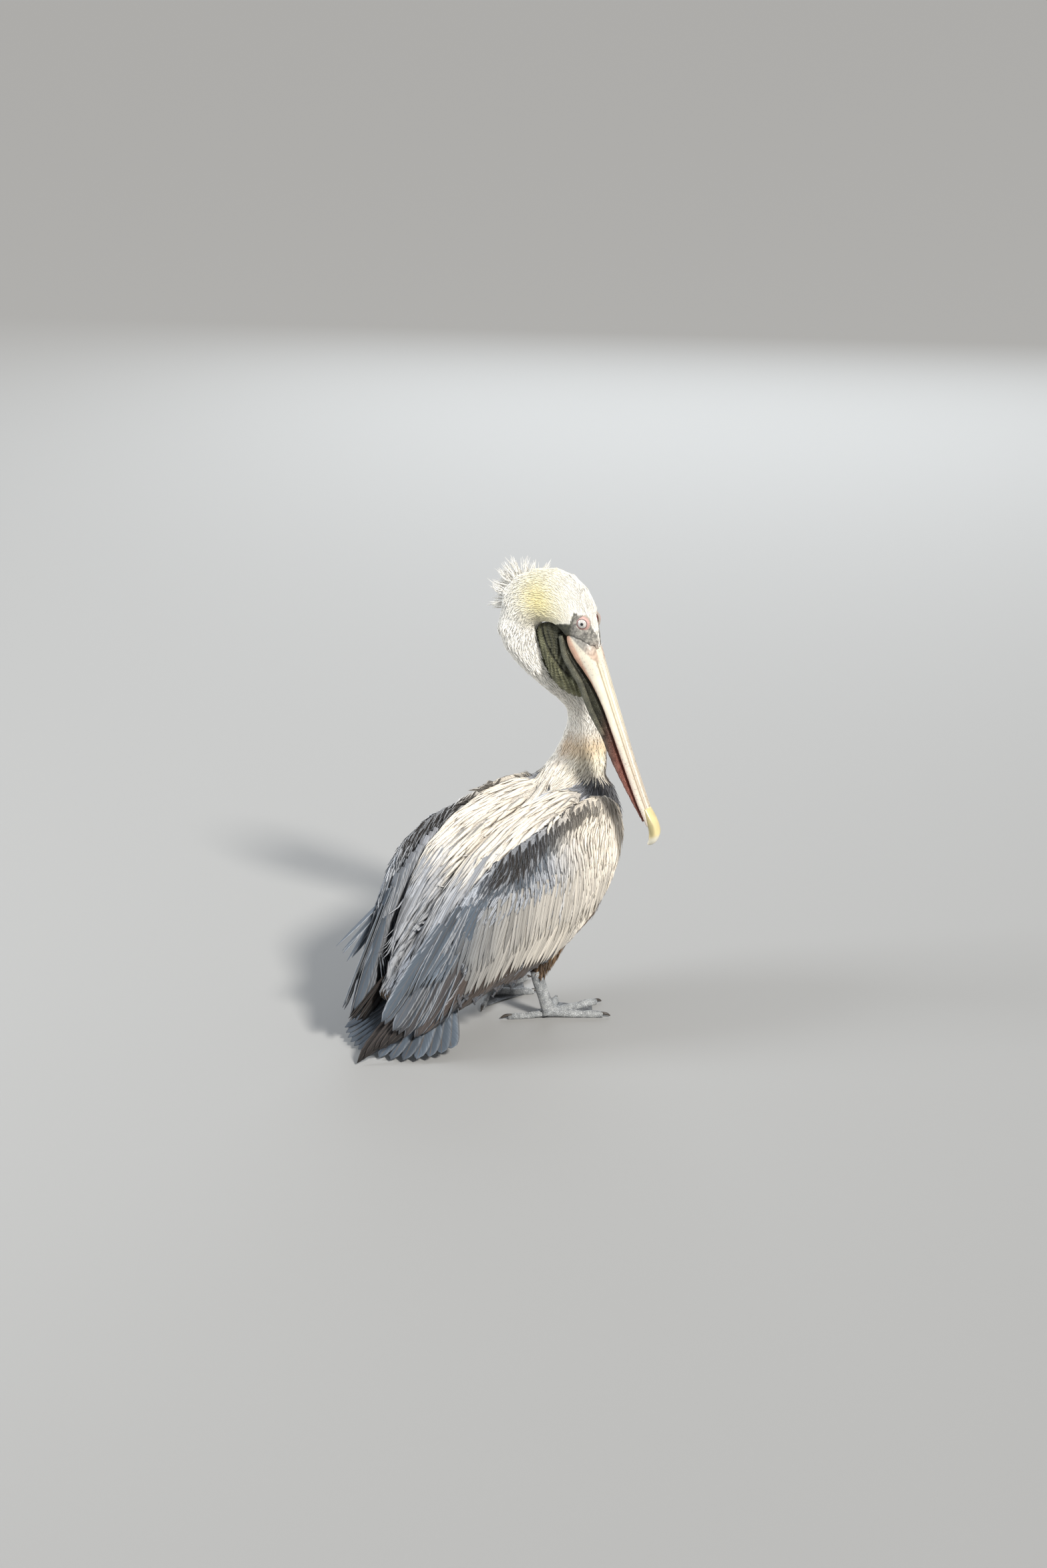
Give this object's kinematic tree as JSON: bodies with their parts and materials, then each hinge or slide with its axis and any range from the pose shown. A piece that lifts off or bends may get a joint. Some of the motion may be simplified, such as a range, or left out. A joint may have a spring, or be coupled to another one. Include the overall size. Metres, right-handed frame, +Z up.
{
  "type": "brown pelican",
  "caption": "Life-size still model of a standing brown pelican, wings folded, head turned to its right and its long pouched bill pointing down.",
  "frame": {"origin": "on the floor, under the middle of the overall box", "axes": "+Z up, -Y the way the body faces, +X the bird's left"},
  "size_m": [0.3192, 0.4986, 0.6544],
  "materials": {
    "white_plumage": "soft matte down and short feathers",
    "crest_plumage": "loose spiky feathers",
    "silver_plumage": "matte feather vanes, silvery cream streaked grey",
    "brown_plumage": "matte dark feathers with pale edges",
    "flight_feathers": "satin dark feather vanes",
    "bill_horn": "satin horn, pinkish cream with fine grey speckles",
    "nail_horn": "satin yellow horn",
    "olive_skin": "dark olive wrinkled skin",
    "leg_skin": "scaly grey skin",
    "claw_horn": "dark satin horn",
    "eye": "wet gloss, pale iris and small dark pupil"
  },
  "bodies": {
    "root": {"head": "white_plumage", "crest": "crest_plumage", "eye_left": "eye", "eye_right": "eye", "bill_nail": "nail_horn", "bill_upper": "bill_horn", "bill_lower": "olive_skin", "pouch": "olive_skin", "neck_upper": "white_plumage", "neck_middle": "white_plumage", "neck_lower": "white_plumage", "trunk": "brown_plumage", "tail": "flight_feathers", "scapulars_left": "silver_plumage", "wing_left_coverts": "silver_plumage", "wing_left_secondaries": "silver_plumage", "wing_left_primaries": "flight_feathers", "thigh_left": "brown_plumage", "tarsus_left": "leg_skin", "foot_left": "leg_skin", "claw_left_outer": "claw_horn", "claw_left_middle": "claw_horn", "claw_left_inner": "claw_horn", "claw_left_hind": "claw_horn", "scapulars_right": "silver_plumage", "wing_right_coverts": "silver_plumage", "wing_right_secondaries": "silver_plumage", "wing_right_primaries": "flight_feathers", "thigh_right": "brown_plumage", "tarsus_right": "leg_skin", "foot_right": "leg_skin", "claw_right_outer": "claw_horn", "claw_right_middle": "claw_horn", "claw_right_inner": "claw_horn", "claw_right_hind": "claw_horn"}
  },
  "joints": []
}
